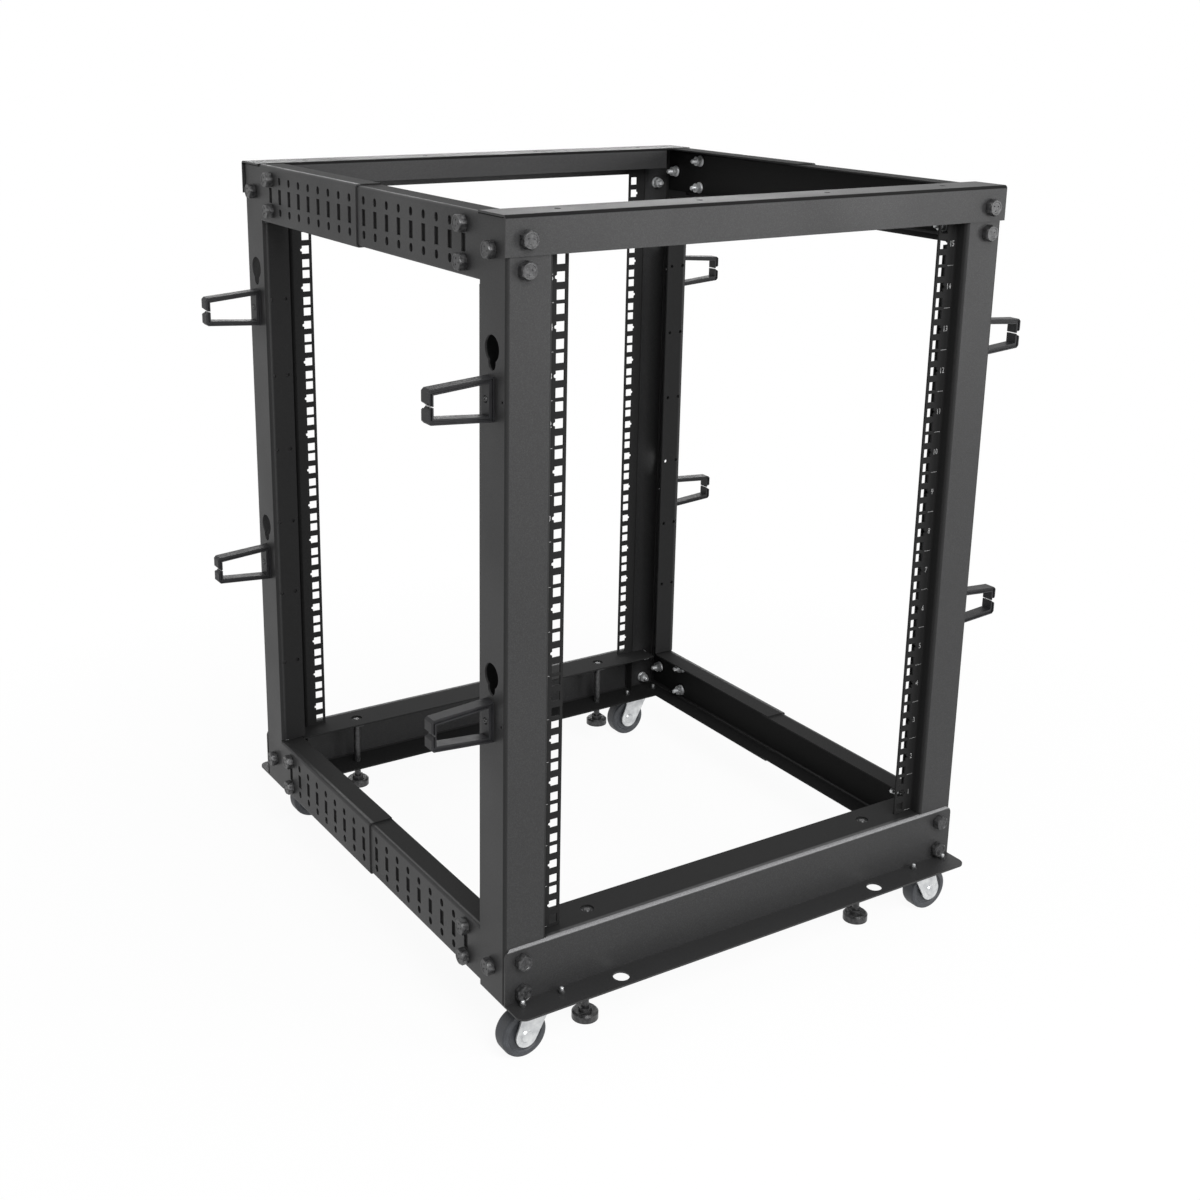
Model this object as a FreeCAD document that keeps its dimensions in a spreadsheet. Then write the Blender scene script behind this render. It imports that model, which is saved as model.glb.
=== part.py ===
import FreeCAD, Part
import math
import os
import Sketcher

os.makedirs("parts", exist_ok=True)
doc = FreeCAD.newDocument("rack")
sheet = doc.addObject("Spreadsheet::Sheet", "sizes")
sheet.Label = "sizes"

# Sizes in millimetres. Heights are from the floor, depths are from a post's outer face inwards.
SIZES = {
    # frame
    "frame_width": 595.0,
    "frame_depth": 590.0,
    "base_clearance": 64.0,
    "steel": 2.0,
    "bend": 1.5,
    # 19-inch rails
    "rack_unit": 44.45,
    "unit_count": 15.0,
    "unit_gap_low": 1.5,
    "unit_gap_high": 0.75,
    "rail_opening": 450.0,
    "rail_width": 25.0,
    "rail_recess": 15.0,
    "hole_spacing": 465.1,
    "hole_side": 9.5,
    "hole_offset": 15.875,
    "notch_width": 4.0,
    "notch_depth": 2.0,
    # posts
    "post_depth": 50.0,
    "return_width": 30.0,
    "return_hole": 4.5,
    "return_hole_gap": 17.0,
    "return_hole_drop": 153.0,
    "return_hole_rows": 6.0,
    "keyhole_round": 25.0,
    "keyhole_slot": 13.0,
    "keyhole_drop": 13.0,
    "keyhole_high": 119.0,
    "pilot_hole": 3.0,
    "pilot_inset": 7.0,
    # base beams
    "base_web": 62.0,
    "foot_flange": 30.0,
    "flange_gap": 0.5,
    "shelf_gap": 0.5,
    "foot_corner": 10.0,
    "web_corner": 9.0,
    "floor_hole": 17.0,
    "floor_hole_offset": 127.0,
    "floor_hole_inset": 15.0,
    # top beams
    "top_face": 36.0,
    "top_lip": 25.0,
    "top_overhang": 2.5,
    "lip_gap": 5.5,
    "top_hole": 6.5,
    "top_hole_step": 155.0,
    "top_hole_inset": 23.0,
    # side beams
    "beam_steel": 1.5,
    "beam_height": 60.0,
    "beam_flange": 27.0,
    "beam_lift": 3.0,
    "beam_overlap": 12.0,
    "beam_joint": 0.3,
    "relief": 2.0,
    "beam_end_hole": 27.0,
    "beam_pitch": 25.4,
    "beam_columns": 9.0,
    "dot_offset": 17.0,
    "dot_width": 6.5,
    "dot_height": 8.5,
    "slot_width": 7.5,
    "slot_height": 16.5,
    "bar_height": 50.0,
    "bar_entry": 40.0,
    # cable rings
    "ring_high": 164.0,
    "ring_step": 309.0,
    "ring_inset": 20.5,
    "ring_reach": 66.0,
    "ring_base": 41.0,
    "ring_tip": 32.0,
    "ring_bar": 5.5,
    "ring_depth": 13.0,
    "ring_chamfer": 2.5,
    "ring_slit": 1.2,
    "ring_notch": 3.5,
    "ring_groove": 1.5,
    "ring_rim": 1.5,
    "ring_screw": 7.0,
    # levelling feet
    "foot_offset": 112.0,
    "foot_inset": 25.0,
    "foot_hole": 14.0,
    "foot_rod": 8.0,
    "foot_play": 0.2,
    "foot_pad": 28.0,
    "foot_pad_height": 9.0,
    "foot_pad_chamfer": 2.0,
    "foot_neck": 14.0,
    "foot_neck_height": 4.0,
    "foot_nut": 15.0,
    "foot_nut_height": 5.0,
    "foot_lift_back": 34.0,
    "foot_rod_above": 12.0,
    # casters
    "caster_offset": 38.0,
    "caster_inset": 8.0,
    "plate_long": 60.0,
    "plate_wide": 52.0,
    "plate_thick": 2.5,
    "plate_corner": 6.0,
    "race_height": 4.5,
    "race_radius": 17.0,
    "race_slope": 2.5,
    "king_radius": 4.0,
    "king_head": 6.5,
    "king_head_height": 1.0,
    "king_play": 0.3,
    "pin_play": 0.1,
    "crown_radius": 20.0,
    "fork_steel": 2.0,
    "fork_gap": 1.5,
    "cheek_radius": 12.0,
    "wheel_radius": 25.0,
    "wheel_width": 18.0,
    "wheel_shoulder": 3.0,
    "wheel_dish": 1.5,
    "wheel_dish_inner": 9.0,
    "wheel_dish_outer": 19.0,
    "trail": 14.0,
    "axle_radius": 3.0,
    "axle_head": 7.0,
    "axle_head_height": 1.5,
}


class Size:
    """A length together with the expression that gives it from the sheet."""

    def __init__(self, value, text=None):
        self.value = float(value)
        self.text = text or "%.9g" % value

    def join(self, sign, other, swap=False):
        if not isinstance(other, Size):
            other = Size(other)
        first, second = (other, self) if swap else (self, other)
        results = {
            "+": first.value + second.value,
            "-": first.value - second.value,
            "*": first.value * second.value,
            "/": first.value / second.value if second.value else 0.0,
        }
        return Size(results[sign], "(%s %s %s)" % (first.text, sign, second.text))

    def __add__(self, other):
        return self.join("+", other)

    def __radd__(self, other):
        return self.join("+", other, True)

    def __sub__(self, other):
        return self.join("-", other)

    def __rsub__(self, other):
        return self.join("-", other, True)

    def __mul__(self, other):
        return self.join("*", other)

    def __rmul__(self, other):
        return self.join("*", other, True)

    def __truediv__(self, other):
        return self.join("/", other)

    def __neg__(self):
        return Size(0).join("-", self)


def fill_sheet():
    """Write every size into the sheet and hand back the same names as Size values."""
    named = {}
    for row, (name, value) in enumerate(SIZES.items(), start=1):
        sheet.set("A%d" % row, name.replace("_", " "))
        sheet.set("B%d" % row, "%g" % value)
        sheet.setAlias("B%d" % row, name)
        named[name] = Size(value, "<<sizes>>.%s" % name)
    doc.recompute()
    return named


s = fill_sheet()
zero = Size(0)
steel = s["steel"]
half_width = s["frame_width"] / 2
half_depth = s["frame_depth"] / 2
base_z = s["base_clearance"]
plate_z = base_z + steel
base_top = base_z + s["base_web"]
rail_z = base_top + s["unit_gap_low"]
rail_top = rail_z + s["rack_unit"] * s["unit_count"]
face_z = rail_top + s["unit_gap_high"]
top_z = face_z + s["top_face"]
rail_half = s["rail_opening"] / 2
step_x = rail_half + s["rail_width"]
rail_back = s["rail_recess"] + steel
return_x = half_width - s["return_width"]
post_top = top_z - steel - s["bend"]
wall_end = s["post_depth"] - steel - s["bend"]
beam_start = half_depth - wall_end - s["beam_joint"]
beam_skin = half_width - steel + s["beam_steel"]
low_beam_z = base_z + s["beam_lift"]
high_beam_z = top_z - steel - s["beam_height"]
crown_top = base_z - s["plate_thick"] - s["race_height"]
crown_z = crown_top - s["fork_steel"]
more = Size(1)


class Corner:
    """One corner of the frame: side is -1 left or 1 right, end is -1 front or 1 back."""

    def __init__(self, side, end):
        self.side = side
        self.end = end
        self.name = "%s_%s" % ("front" if end < 0 else "back", "left" if side < 0 else "right")
        # The way the wheel trails: outwards at the front, inwards at the back.
        self.trail = -side * end

    def x(self, out):
        return out * self.side

    def y(self, depth):
        return (half_depth - depth) * self.end


CORNERS = [Corner(side, end) for end in (-1, 1) for side in (-1, 1)]
ENDS = {-1: "front", 1: "back"}
SIDES = {-1: "left", 1: "right"}


def bind(target, prop, size):
    target.setExpression(prop, size.text)


def new_body(name):
    body = doc.addObject("PartDesign::Body", name)
    body.Label = name
    return body


def new_sketch(body, role, offset=zero, across=zero, up=zero, name="outline"):
    """A sketch on one of the body's own planes, moved along its normal and in its plane."""
    sketch = body.newObject("Sketcher::SketchObject", name)
    plane = next(item for item in body.Origin.OriginFeatures if item.Role == role)
    sketch.AttachmentSupport = [(plane, "")]
    sketch.MapMode = "FlatFace"
    for letter, size in (("x", across), ("y", up), ("z", offset)):
        bind(sketch, "AttachmentOffset.Base.%s" % letter, size)
    return sketch


def facing_front(body, y, name="outline", across=zero):
    """A sketch that stands across the frame at the depth y: its axes are X and Z."""
    return new_sketch(body, "XZ_Plane", -y, across, name=name)


def facing_side(body, x, name="outline", across=zero, up=zero):
    """A sketch that stands along the frame at the place x: its axes are Y and Z."""
    return new_sketch(body, "YZ_Plane", x, across, up, name=name)


def point(x, y):
    return FreeCAD.Vector(x.value, y.value, 0)


def drive(sketch, constraint, size):
    at = sketch.addConstraint(constraint)
    sketch.setExpression("Constraints[%d]" % at, size.text)


def pin(sketch, geo, end, x, y):
    """Hold one point of the sketch at the two sizes given."""
    for kind, size in (("DistanceX", x), ("DistanceY", y)):
        drive(sketch, Sketcher.Constraint(kind, -1, 1, geo, end, size.value), size)


def polygon(sketch, points):
    count = len(points)
    first = sketch.GeometryCount
    for i in range(count):
        sketch.addGeometry(Part.LineSegment(point(*points[i]), point(*points[(i + 1) % count])), False)
    for i in range(count):
        after = first + (i + 1) % count
        sketch.addConstraint(Sketcher.Constraint("Coincident", first + i, 2, after, 1))
        pin(sketch, first + i, 1, *points[i])


def rectangle(sketch, x0, x1, y0, y1):
    polygon(sketch, [(x0, y0), (x1, y0), (x1, y1), (x0, y1)])


def circle(sketch, x, y, radius):
    geo = sketch.addGeometry(Part.Circle(point(x, y), FreeCAD.Vector(0, 0, 1), radius.value), False)
    pin(sketch, geo, 3, x, y)
    drive(sketch, Sketcher.Constraint("Radius", geo, radius.value), radius)


def arc(sketch, x, y, radius, start, stop):
    """An arc held by its centre and radius; its ends stay free for what meets them."""
    whole = Part.Circle(point(x, y), FreeCAD.Vector(0, 0, 1), radius.value)
    geo = sketch.addGeometry(Part.ArcOfCircle(whole, start, stop), False)
    pin(sketch, geo, 3, x, y)
    drive(sketch, Sketcher.Constraint("Radius", geo, radius.value), radius)
    return geo


def upright_slot(sketch, x, y0, y1, width):
    """A slot with round ends; y0 and y1 are the centres of its lower and upper ends."""
    radius = width / 2
    low = arc(sketch, x, y0, radius, math.pi, 2 * math.pi)
    high = arc(sketch, x, y1, radius, 0, math.pi)
    right = sketch.addGeometry(Part.LineSegment(point(x + radius, y0), point(x + radius, y1)), False)
    left = sketch.addGeometry(Part.LineSegment(point(x - radius, y1), point(x - radius, y0)), False)
    for first, first_end, second, second_end in (
            (low, 2, right, 1), (right, 2, high, 1), (high, 2, left, 1), (left, 2, low, 1)):
        sketch.addConstraint(Sketcher.Constraint("Tangent", first, first_end, second, second_end))


def extrude(body, kind, sketch, length, both_ways):
    feature = body.newObject("PartDesign::" + kind, kind.lower())
    feature.Profile = sketch
    if both_ways:
        feature.SideType = "Symmetric"
    bind(feature, "Length", length)
    body.Tip = feature
    return feature


def pad(body, sketch, length, both_ways=False):
    return extrude(body, "Pad", sketch, length, both_ways)


def pocket(body, sketch, length, both_ways=True):
    return extrude(body, "Pocket", sketch, length, both_ways)


def revolve(body, sketch, axis):
    feature = body.newObject("PartDesign::Revolution", "turning")
    feature.Profile = sketch
    feature.ReferenceAxis = (sketch, [axis])
    feature.Angle = 360
    body.Tip = feature
    return feature


def repeat(body, feature, sketch, axis, length, count, backwards=False):
    """Repeat a feature in a line along one axis of its own sketch."""
    row = body.newObject("PartDesign::LinearPattern", "row")
    row.Originals = [feature]
    row.Direction = (sketch, [axis])
    row.Reversed = backwards
    bind(row, "Length", length)
    bind(row, "Occurrences", count)
    body.Tip = row
    return row


def block(body, x0, x1, y0, y1, z0, z1):
    sketch = new_sketch(body, "XY_Plane", z0)
    rectangle(sketch, x0, x1, y0, y1)
    return pad(body, sketch, z1 - z0)


def clear(body, x0, x1, y0, y1, z0, z1):
    """Take a plain block away."""
    sketch = new_sketch(body, "XY_Plane", z1, name="cut")
    rectangle(sketch, x0, x1, y0, y1)
    return pocket(body, sketch, z1 - z0, False)


def bore(body, x, y, radius, z0, z1):
    sketch = new_sketch(body, "XY_Plane", z1, name="hole")
    circle(sketch, x, y, radius)
    return pocket(body, sketch, z1 - z0, False)


def turned(body, x, y, profile):
    """Turn a profile of radii and heights about the upright line through x and y."""
    sketch = facing_front(body, y, "profile", x)
    polygon(sketch, profile)
    return revolve(body, sketch, "V_Axis")


def round_edges(body, axis, places, radius):
    """Round the straight edges that run along the axis through the places given."""
    doc.recompute()
    across = {"x": ("y", "z"), "y": ("x", "z"), "z": ("x", "y")}[axis]
    sharp = body.Tip
    names = []
    for number, edge in enumerate(sharp.Shape.Edges, start=1):
        ends = [vertex.Point for vertex in edge.Vertexes]
        for first, second in places:
            if len(ends) == 2 and all(
                    abs(getattr(end, across[0]) - first.value) < 0.001
                    and abs(getattr(end, across[1]) - second.value) < 0.001 for end in ends):
                names.append("Edge%d" % number)
    feature = body.newObject("PartDesign::Fillet", "bend")
    feature.Base = (sharp, names)
    bind(feature, "Radius", radius)
    body.Tip = feature
    return feature


def fold(body, axis, outer, inner, thickness):
    """Give a folded sheet its bends: places of the outer corners and of the inner ones."""
    round_edges(body, axis, inner, s["bend"])
    round_edges(body, axis, outer, s["bend"] + thickness)


# The four corner posts, each one folded sheet: face, step, rail, side and inner return.
def make_post(corner):
    body = new_body("post_" + corner.name)
    deep = s["post_depth"]
    recess = s["rail_recess"]
    outline = [
        (rail_half, recess), (step_x, recess), (step_x, zero), (half_width, zero),
        (half_width, deep), (return_x, deep), (return_x, deep - steel), (half_width - steel, deep - steel),
        (half_width - steel, steel), (step_x + steel, steel), (step_x + steel, rail_back),
        (rail_half, rail_back),
    ]
    section = new_sketch(body, "XY_Plane", plate_z)
    polygon(section, [(corner.x(x), corner.y(y)) for x, y in outline])
    pad(body, section, post_top - plate_z)

    def places(pairs):
        return [(corner.x(x), corner.y(y)) for x, y in pairs]

    fold(body, "z",
         places([(step_x, zero), (half_width, zero), (half_width, deep), (step_x + steel, rail_back)]),
         places([(step_x, recess), (half_width - steel, steel), (half_width - steel, deep - steel),
                 (step_x + steel, steel)]), steel)
    cut_post_ends(body, corner)
    cut_rail_holes(body, corner)
    cut_keyholes(body, corner)
    cut_return_holes(body, corner)
    return body


def cut_post_ends(body, corner):
    """The rail stands on the base beam's shelf, and the side gives way to the side beams."""
    clear(body, corner.x(rail_half - more), corner.x(step_x), corner.y(s["rail_recess"] - more),
          corner.y(rail_back + more), plate_z - more, base_top)
    spare = s["beam_steel"] + s["relief"]
    low_stop = low_beam_z + s["beam_height"] + spare
    high_stop = high_beam_z - spare
    for low, high in ((plate_z - more, low_stop), (high_stop, post_top + more)):
        clear(body, corner.x(return_x - more), corner.x(half_width + more),
              corner.y(wall_end), corner.y(s["post_depth"] + more), low, high)


def cut_rail_holes(body, corner):
    """Square holes, three to a unit; the middle one has a notch on its outer side."""
    holes = facing_front(body, corner.y(rail_back - steel / 2), "square_holes")
    half = s["hole_side"] / 2
    inner = corner.x(s["hole_spacing"] / 2 - half)
    outer = corner.x(s["hole_spacing"] / 2 + half)
    middle = rail_z + s["rack_unit"] / 2
    for z in (middle - s["hole_offset"], middle + s["hole_offset"]):
        rectangle(holes, inner, outer, z - half, z + half)
    notch = corner.x(s["hole_spacing"] / 2 + half + s["notch_depth"])
    wide = s["notch_width"] / 2
    polygon(holes, [
        (inner, middle - half), (outer, middle - half), (outer, middle - wide), (notch, middle - wide / 2),
        (notch, middle + wide / 2), (outer, middle + wide), (outer, middle + half), (inner, middle + half)])
    unit = pocket(body, holes, steel * 3)
    repeat(body, unit, holes, "V_Axis", s["rack_unit"] * (s["unit_count"] - 1), s["unit_count"])


def cut_keyholes(body, corner):
    """A keyhole in the outer side above each cable ring, and a pilot hole beside the ring."""
    middle = corner.x(half_width - steel / 2)
    y = corner.y(s["post_depth"] / 2)
    z = top_z - s["keyhole_high"]
    rounds = facing_side(body, middle, "keyhole_rounds")
    circle(rounds, y, z, s["keyhole_round"] / 2)
    slots = facing_side(body, middle, "keyhole_slots")
    upright_slot(slots, y, z - s["keyhole_drop"], z, s["keyhole_slot"])
    pilots = facing_side(body, middle, "pilot_holes")
    circle(pilots, corner.y(s["pilot_inset"]), top_z - s["ring_high"], s["pilot_hole"] / 2)
    for sketch in (rounds, slots, pilots):
        repeat(body, pocket(body, sketch, steel * 3), sketch, "V_Axis", s["ring_step"], Size(2), True)


def cut_return_holes(body, corner):
    """Pairs of small round holes down the inner return, one pair in every second unit."""
    pairs = facing_front(body, corner.y(s["post_depth"] - steel / 2), "return_holes")
    for way in (-1, 1):
        x = return_x + s["return_width"] / 2 + s["return_hole_gap"] / 2 * way
        circle(pairs, corner.x(x), top_z - s["return_hole_drop"], s["return_hole"] / 2)
    pair = pocket(body, pairs, steel * 3)
    length = s["rack_unit"] * 2 * (s["return_hole_rows"] - 1)
    repeat(body, pair, pairs, "V_Axis", length, s["return_hole_rows"], True)


# The base beams: an outer web, a shelf bent inwards and a foot plate that reaches out both ways.
def make_base(end):
    body = new_body("base_beam_" + ENDS[end])
    place = Corner(1, end)
    shelf = wall_end - s["shelf_gap"]
    toe = -(steel + s["foot_flange"])
    outline = [
        (toe, base_z), (wall_end, base_z), (wall_end, plate_z), (zero, plate_z), (zero, base_top - steel),
        (shelf, base_top - steel), (shelf, base_top), (-steel, base_top), (-steel, plate_z), (toe, plate_z),
    ]
    section = facing_side(body, zero)
    polygon(section, [(place.y(y), z) for y, z in outline])
    pad(body, section, s["frame_width"], True)
    fold(body, "x", [(place.y(-steel), base_top)], [(place.y(zero), base_top - steel)], steel)
    round_edges(body, "z", [(half_width * side, place.y(toe)) for side in (-1, 1)], s["foot_corner"])
    for side in (-1, 1):
        corner = Corner(side, end)
        fit_shelf(body, corner)
        round_web(body, corner)
        drill_base(body, corner)
    return body


def fit_shelf(body, corner):
    """The shelf ends inside the post, notched round the post's step."""
    low = base_top - steel - s["bend"]
    high = base_top + more
    gap = s["flange_gap"]
    clear(body, corner.x(step_x - gap), corner.x(half_width + more), corner.y(zero),
          corner.y(rail_back + gap), low, high)
    clear(body, corner.x(return_x - gap), corner.x(half_width + more), corner.y(rail_back),
          corner.y(s["post_depth"]), low, high)


def round_web(body, corner):
    """Round the web's upper outer corner."""
    radius = s["web_corner"]
    cut = facing_front(body, corner.y(-steel / 2), "web_corner")
    x0 = corner.x(half_width - radius)
    x1 = corner.x(half_width)
    z0 = base_top - radius
    start, stop = (0, math.pi / 2) if corner.side > 0 else (math.pi / 2, math.pi)
    bow = arc(cut, x0, z0, radius, start, stop)
    side_end, top_end = (1, 2) if corner.side > 0 else (2, 1)
    corner_x = corner.x(half_width + more)
    high = base_top + more
    spots = [(x1, z0), (corner_x, z0), (corner_x, high), (x0, high), (x0, base_top)]
    first = cut.GeometryCount
    for i in range(4):
        cut.addGeometry(Part.LineSegment(point(*spots[i]), point(*spots[i + 1])), False)
    for i in range(3):
        cut.addConstraint(Sketcher.Constraint("Coincident", first + i, 2, first + i + 1, 1))
        pin(cut, first + i, 2, *spots[i + 1])
    cut.addConstraint(Sketcher.Constraint("Coincident", first, 1, bow, side_end))
    cut.addConstraint(Sketcher.Constraint("Coincident", first + 3, 2, bow, top_end))
    cut.addConstraint(Sketcher.Constraint("Horizontal", first))
    cut.addConstraint(Sketcher.Constraint("Vertical", first + 3))
    pocket(body, cut, steel * 2)


def drill_base(body, corner):
    foot_x = corner.x(half_width - s["foot_offset"])
    foot_y = corner.y(s["foot_inset"])
    bore(body, foot_x, foot_y, s["foot_hole"] / 2, base_top - steel - more, base_top + more)
    bore(body, foot_x, foot_y, s["foot_rod"] / 2 + s["foot_play"], base_z - more, plate_z + more)
    bore(body, corner.x(half_width - s["floor_hole_offset"]), corner.y(-(s["floor_hole_inset"] + steel)),
         s["floor_hole"] / 2, base_z - more, plate_z + more)


# The top beams: a face outside the posts, a flat top over them and a short lip inside.
def make_top(end):
    body = new_body("top_beam_" + ENDS[end])
    place = Corner(1, end)
    lip = top_z - s["top_lip"]
    lip_face = wall_end - steel
    outline = [
        (-steel, face_z), (zero, face_z), (zero, top_z - steel), (lip_face, top_z - steel),
        (lip_face, lip), (wall_end, lip), (wall_end, top_z), (-steel, top_z),
    ]
    section = facing_side(body, zero)
    polygon(section, [(place.y(y), z) for y, z in outline])
    pad(body, section, s["frame_width"] + 2 * s["top_overhang"], True)
    fold(body, "x", [(place.y(-steel), top_z), (place.y(wall_end), top_z)],
         [(place.y(zero), top_z - steel), (place.y(lip_face), top_z - steel)], steel)
    for side in (-1, 1):
        corner = Corner(side, end)
        clear(body, corner.x(return_x - s["lip_gap"]), corner.x(half_width + s["top_overhang"] + more),
              corner.y(lip_face - s["bend"]), corner.y(wall_end + more), lip - more, top_z - steel)
        for step in (0.5, 1.5):
            bore(body, corner.x(s["top_hole_step"] * step), corner.y(s["top_hole_inset"]),
                 s["top_hole"] / 2, top_z - steel - more, top_z + more)
    return body


# The side beams: two slotted channels of which the back one slides over the front one.
def make_channel(side, end, level):
    corner = Corner(side, end)
    body = new_body("side_%s_%s" % (level, corner.name))
    t = s["beam_steel"]
    outside = t if end > 0 else zero
    skin = beam_skin + outside
    bottom = (low_beam_z if level == "base" else high_beam_z) - outside
    top = bottom + s["beam_height"] + 2 * outside
    tip = beam_skin - s["beam_flange"]
    outline = [
        (skin, bottom), (skin, top), (tip, top), (tip, top - t),
        (skin - t, top - t), (skin - t, bottom + t), (tip, bottom + t), (tip, bottom),
    ]
    overlap = s["beam_overlap"] if end < 0 else zero
    section = facing_front(body, (overlap - beam_start) / 2 if end < 0 else beam_start / 2)
    polygon(section, [(corner.x(x), z) for x, z in outline])
    pad(body, section, beam_start + overlap, True)
    fold(body, "y", [(corner.x(skin), bottom), (corner.x(skin), top)],
         [(corner.x(skin - t), bottom + t), (corner.x(skin - t), top - t)], t)
    cut_columns(body, corner, skin - t / 2, (bottom + top) / 2)
    return body


def cut_columns(body, corner, x, z):
    """Columns of a square-ended slot between two short round-ended ones."""
    holes = facing_side(body, corner.x(x), "slots")
    y = (half_depth - s["post_depth"] - s["beam_end_hole"]) * corner.end
    rectangle(holes, y - s["slot_width"] / 2, y + s["slot_width"] / 2,
              z - s["slot_height"] / 2, z + s["slot_height"] / 2)
    reach = (s["dot_height"] - s["dot_width"]) / 2
    for way in (-1, 1):
        centre = z + s["dot_offset"] * way
        upright_slot(holes, y, centre - reach, centre + reach, s["dot_width"])
    column = pocket(body, holes, s["beam_steel"] * 3)
    length = s["beam_pitch"] * (s["beam_columns"] - 1)
    repeat(body, column, holes, "H_Axis", length, s["beam_columns"], corner.end > 0)


# A plain bar lies inside each side beam and runs on into both posts. It is thicker behind the
# back channel, which stands further out.
def make_bar(side, level):
    body = new_body("side_%s_bar_%s" % (level, SIDES[side]))
    place = Corner(side, 1)
    t = s["beam_steel"]
    outer = half_width - steel
    middle = (low_beam_z if level == "base" else high_beam_z) + s["beam_height"] / 2
    z0 = middle - s["bar_height"] / 2
    z1 = middle + s["bar_height"] / 2
    reach = half_depth - s["post_depth"] + s["bar_entry"]
    block(body, place.x(outer - t), place.x(outer), -reach, reach, z0, z1)
    block(body, place.x(outer), place.x(outer + t), s["beam_overlap"], beam_start, z0, z1)
    return body


# The cable rings: a tapered loop on the post's outer side, slit at its tip.
def make_ring(corner, name, drop):
    body = new_body("ring_%s_%s" % (corner.name, name))
    middle = s["ring_inset"] + s["ring_depth"] / 2
    y = corner.y(middle)
    z = top_z - drop
    bar = s["ring_bar"]
    rim = s["ring_rim"]
    tip = half_width + s["ring_reach"]

    def draw(sketch, spots):
        polygon(sketch, [(corner.x(x), z + up) for x, up in spots])

    def inside(inset):
        """The ring's outline moved inwards by the inset, with sharp corners."""
        wide = s["ring_base"] / 2 - inset
        narrow = s["ring_tip"] / 2 - inset
        start = half_width + inset
        return [(start, -wide), (tip - inset, -narrow), (tip - inset, narrow), (start, wide)]

    outline = facing_front(body, y)
    cut = s["ring_chamfer"]
    root, low, high, end = inside(zero)
    draw(outline, [root, (tip - cut, low[1]), (tip, low[1] + cut), (tip, high[1] - cut),
                   (tip - cut, high[1]), end])
    draw(outline, inside(bar))
    pad(body, outline, s["ring_depth"], True)
    for way in (-1, 1):
        hollow = facing_front(body, y + s["ring_depth"] / 2 * way, "groove")
        draw(hollow, inside(rim))
        draw(hollow, inside(bar - rim))
        pocket(body, hollow, s["ring_groove"] * 2)
    slit = facing_front(body, y, "slit")
    notch = s["ring_notch"]
    half = s["ring_slit"] / 2
    draw(slit, [(tip + more, notch + more), (tip - notch, half), (tip - bar - more, half),
                (tip - bar - more, -half), (tip - notch, -half), (tip + more, -notch - more)])
    pocket(body, slit, s["ring_depth"] * 2)
    screw = facing_side(body, corner.x(half_width + bar), "screw_seat")
    circle(screw, y, z, s["ring_screw"] / 2)
    pocket(body, screw, bar)
    return body


# The levelling feet: pad, neck, rod and lock nut, wound down at the front and up at the back.
def make_foot(corner):
    body = new_body("foot_" + corner.name)
    x = corner.x(half_width - s["foot_offset"])
    y = corner.y(s["foot_inset"])
    lift = zero if corner.end < 0 else s["foot_lift_back"]
    pad_top = lift + s["foot_pad_height"]
    neck_top = pad_top + s["foot_neck_height"]
    rod = s["foot_rod"] / 2
    edge = s["foot_pad"] / 2
    slope = s["foot_pad_chamfer"]
    rod_top = plate_z + s["foot_rod_above"] + lift
    turned(body, x, y, [
        (zero, lift), (edge, lift), (edge, pad_top - slope), (edge - slope, pad_top),
        (s["foot_neck"] / 2, pad_top), (s["foot_neck"] / 2, neck_top), (rod, neck_top),
        (rod, rod_top - more), (rod - more, rod_top), (zero, rod_top)])
    nut = new_sketch(body, "XY_Plane", base_z - s["foot_nut_height"], name="nut")
    hexagon(nut, x, y, s["foot_nut"] / 2)
    pad(body, nut, s["foot_nut_height"])
    return body


def hexagon(sketch, x, y, radius):
    """A hexagon by the radius of its corners, one corner towards each side of the frame."""
    half = radius / 2
    tall = radius * math.sqrt(0.75)
    polygon(sketch, [(x + radius, y + zero), (x + half, y + tall), (x - half, y + tall),
                     (x - radius, y + zero), (x - half, y - tall), (x + half, y - tall)])


# The casters: a fixed plate with its race and king pin, a fork that swivels, a wheel that rolls.
def caster_place(corner):
    return corner.x(half_width - s["caster_offset"]), corner.y(s["caster_inset"])


def make_plate(corner):
    body = new_body("caster_plate_" + corner.name)
    x, y = caster_place(corner)
    long = s["plate_long"] / 2
    wide = s["plate_wide"] / 2
    under = base_z - s["plate_thick"]
    block(body, x - long, x + long, y - wide, y + wide, under, base_z)
    corners = [(x + long * i, y + wide * j) for i in (-1, 1) for j in (-1, 1)]
    round_edges(body, "z", corners, s["plate_corner"])
    race = s["race_radius"]
    slope = s["race_slope"]
    king = s["king_radius"]
    head_top = crown_z - s["king_play"]
    turned(body, x, y, [
        (zero, under), (race, under), (race, under - slope), (race - slope, crown_top), (king, crown_top),
        (king, head_top), (s["king_head"], head_top), (s["king_head"] - more, head_top - s["king_head_height"]),
        (zero, head_top - s["king_head_height"])])
    return body


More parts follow.
